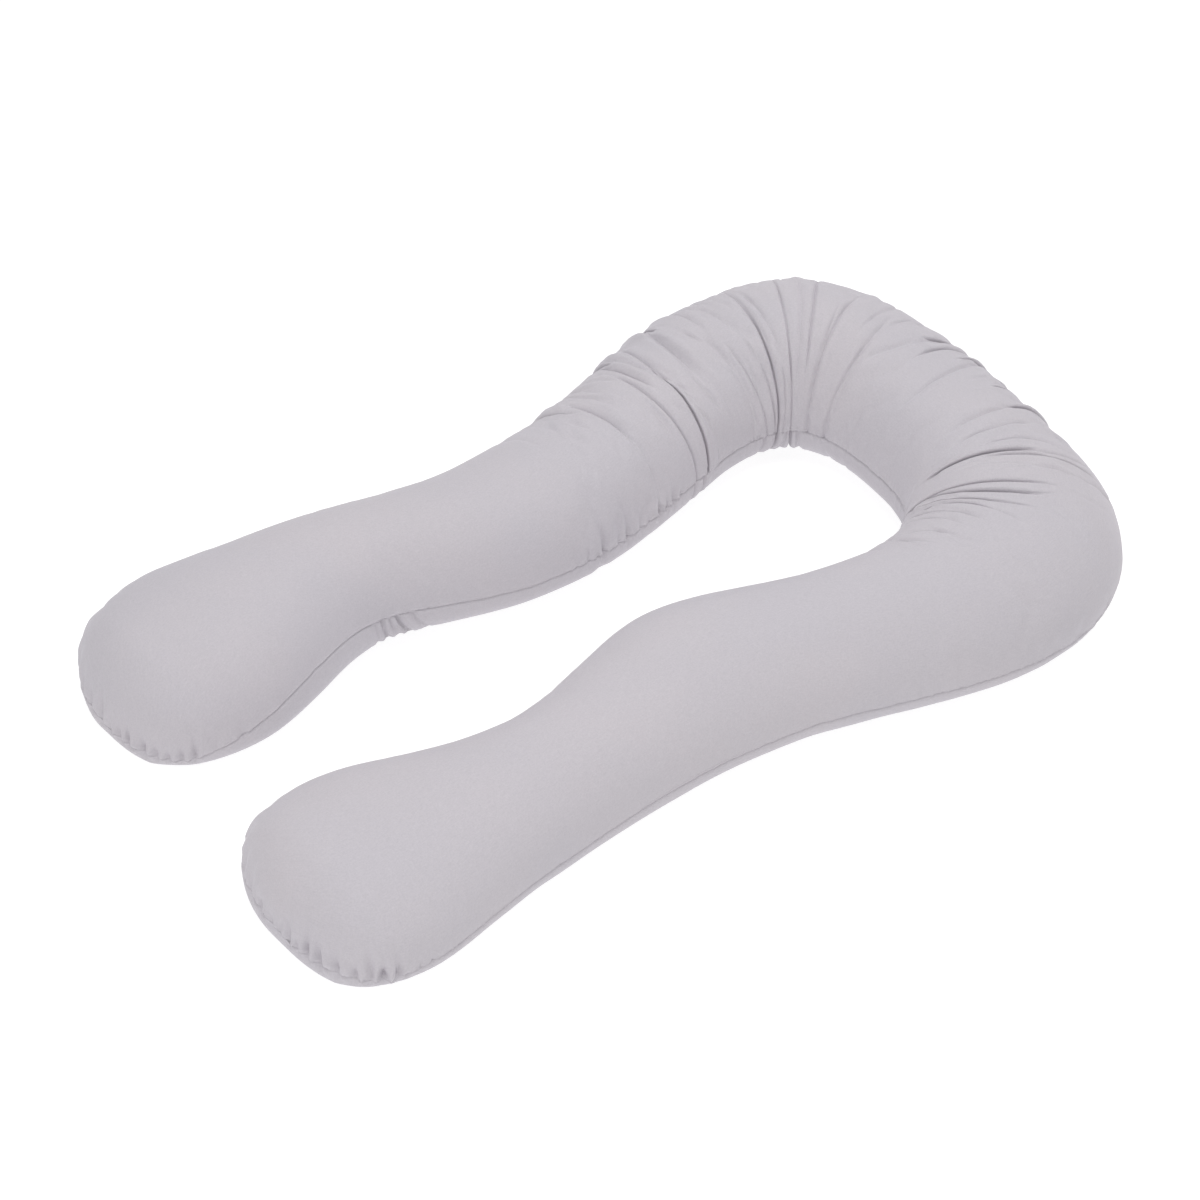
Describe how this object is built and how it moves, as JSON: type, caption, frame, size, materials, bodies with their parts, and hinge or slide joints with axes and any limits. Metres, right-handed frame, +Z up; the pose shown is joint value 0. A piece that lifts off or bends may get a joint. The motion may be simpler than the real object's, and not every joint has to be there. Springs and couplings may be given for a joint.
{
  "type": "u-shaped pregnancy pillow",
  "caption": "Full-length U-shaped body pillow: a filled, seamed jersey tube with two contoured arms and a creased head bend, lying flat on its lower panel.",
  "frame": {"origin": "centre of the outline on the surface that the pillow lies on", "axes": "+Y from the free ends of the arms towards the head bend, +Z up from the resting face, +X to the right when looking along +Y"},
  "size_m": [0.8736, 1.458, 0.2047],
  "materials": {
    "jersey": "matt fine jersey knit, pale lilac grey, faintly heathered"
  },
  "bodies": {
    "root": {"pillow": "jersey"}
  },
  "joints": []
}
